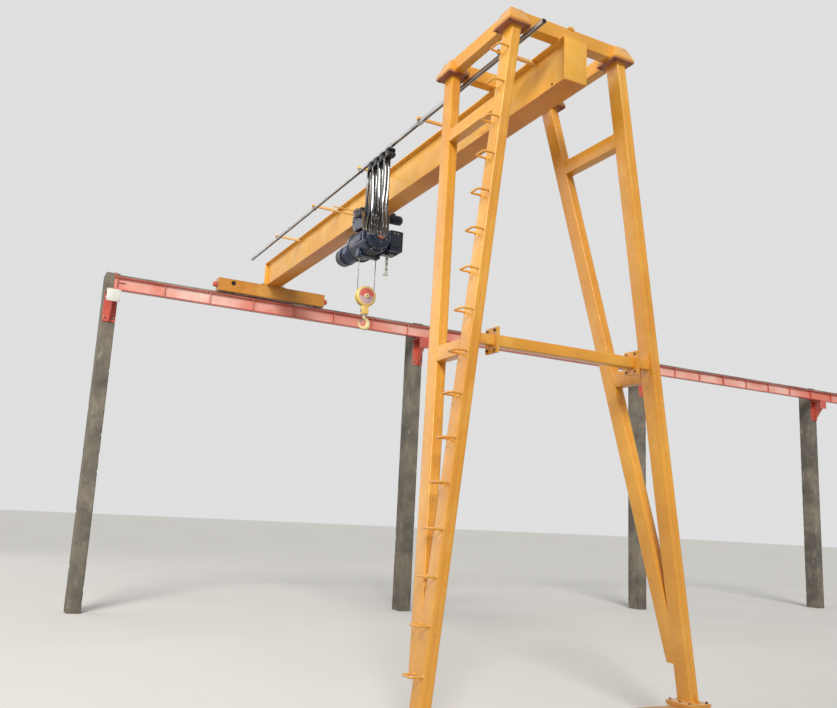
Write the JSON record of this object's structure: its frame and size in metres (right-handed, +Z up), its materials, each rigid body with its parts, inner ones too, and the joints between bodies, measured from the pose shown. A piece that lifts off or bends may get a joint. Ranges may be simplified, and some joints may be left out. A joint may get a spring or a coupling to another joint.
{
  "type": "gantry crane",
  "caption": "Semi-gantry crane: a braced leg frame on a floor rail, a box girder running to a wall runway, a trolley hoist with hook and a festoon cable.",
  "frame": {"origin": "on the floor under the ground rail, in line with the girder's middle", "axes": "+X along the rails to the right as seen from the leg side, +Y along the girder away from the leg frame, +Z up"},
  "size_m": [16.82, 8.58, 5.7],
  "materials": {
    "crane_paint": "orange-yellow gloss enamel, dusty and lightly scuffed",
    "concrete": null,
    "runway_paint": "red oxide primer, satin",
    "rail_steel": "rolled rail steel, worn bright on the running face",
    "wheel_iron": "turned cast wheels, greasy",
    "buffer_rubber": "red-brown moulded rubber",
    "track_zinc": "galvanised channel, dull",
    "wire_rope": "stranded wire rope, oiled",
    "hook_paint": "yellow enamel with a red and white ring",
    "hook_steel": "forged hook with yellow-cream paint",
    "hoist_paint": "dark blue-black enamel, half gloss",
    "cable_sheath": "glossy black flat cable sheath",
    "trolley_plastic": "black moulded cable trolleys"
  },
  "bodies": {
    "root": {"column_1": "concrete", "column_2": "concrete", "column_3": "concrete", "column_4": "concrete", "runway_beam": "runway_paint", "runway_rail": "rail_steel", "ground_rail": "rail_steel"},
    "crane": {"ground_carriage": "crane_paint", "ground_wheels": "wheel_iron", "ground_buffers": "buffer_rubber", "foot_left": "crane_paint", "foot_right": "crane_paint", "near_leg_left": "crane_paint", "near_leg_right": "crane_paint", "far_leg_left": "crane_paint", "far_leg_right": "crane_paint", "braces_left": "crane_paint", "braces_right": "crane_paint", "tie_beam": "crane_paint", "front_beam": "crane_paint", "rear_beam": "crane_paint", "side_beam_left": "crane_paint", "side_beam_right": "crane_paint", "girder_box": "crane_paint", "girder_bottom_flange": "crane_paint", "far_carriage": "crane_paint", "far_wheels": "wheel_iron", "far_buffers": "buffer_rubber", "festoon_track": "track_zinc", "festoon_arms": "crane_paint", "ladder_rungs": "crane_paint"},
    "hoist": {"trolley_frame": "hoist_paint", "trolley_wheels": "wheel_iron", "trolley_motor": "hoist_paint", "hoist_drum": "hoist_paint", "hoist_gearbox": "hoist_paint", "hoist_motor": "hoist_paint", "control_box": "hoist_paint", "tow_arm": "crane_paint", "festoon_trolleys": "trolley_plastic", "festoon_cable": "cable_sheath", "festoon_lead": "cable_sheath", "rope_falls": "wire_rope"},
    "hook_block": {"hook_block": "hook_paint"},
    "hook": {"hook": "hook_steel"}
  },
  "joints": [
    {"name": "crane_travel", "type": "slide", "parent": "root", "child": "crane", "axis": [1, 0, 0], "range_m": [-1.2, 12.15]},
    {"name": "hoist_travel", "type": "slide", "parent": "crane", "child": "hoist", "axis": [0, 1, 0], "range_m": [-2.2, 2.65]},
    {"name": "hook_lift", "type": "slide", "parent": "hoist", "child": "hook_block", "axis": [0, 0, 1], "range_m": [-3.6, 0.3], "deforming": ["rope_falls"]},
    {"name": "hook_swivel", "type": "hinge", "parent": "hook_block", "child": "hook", "pos_m": [0, 4.06, 3.85], "axis": [0, 0, 1], "continuous": true}
  ]
}
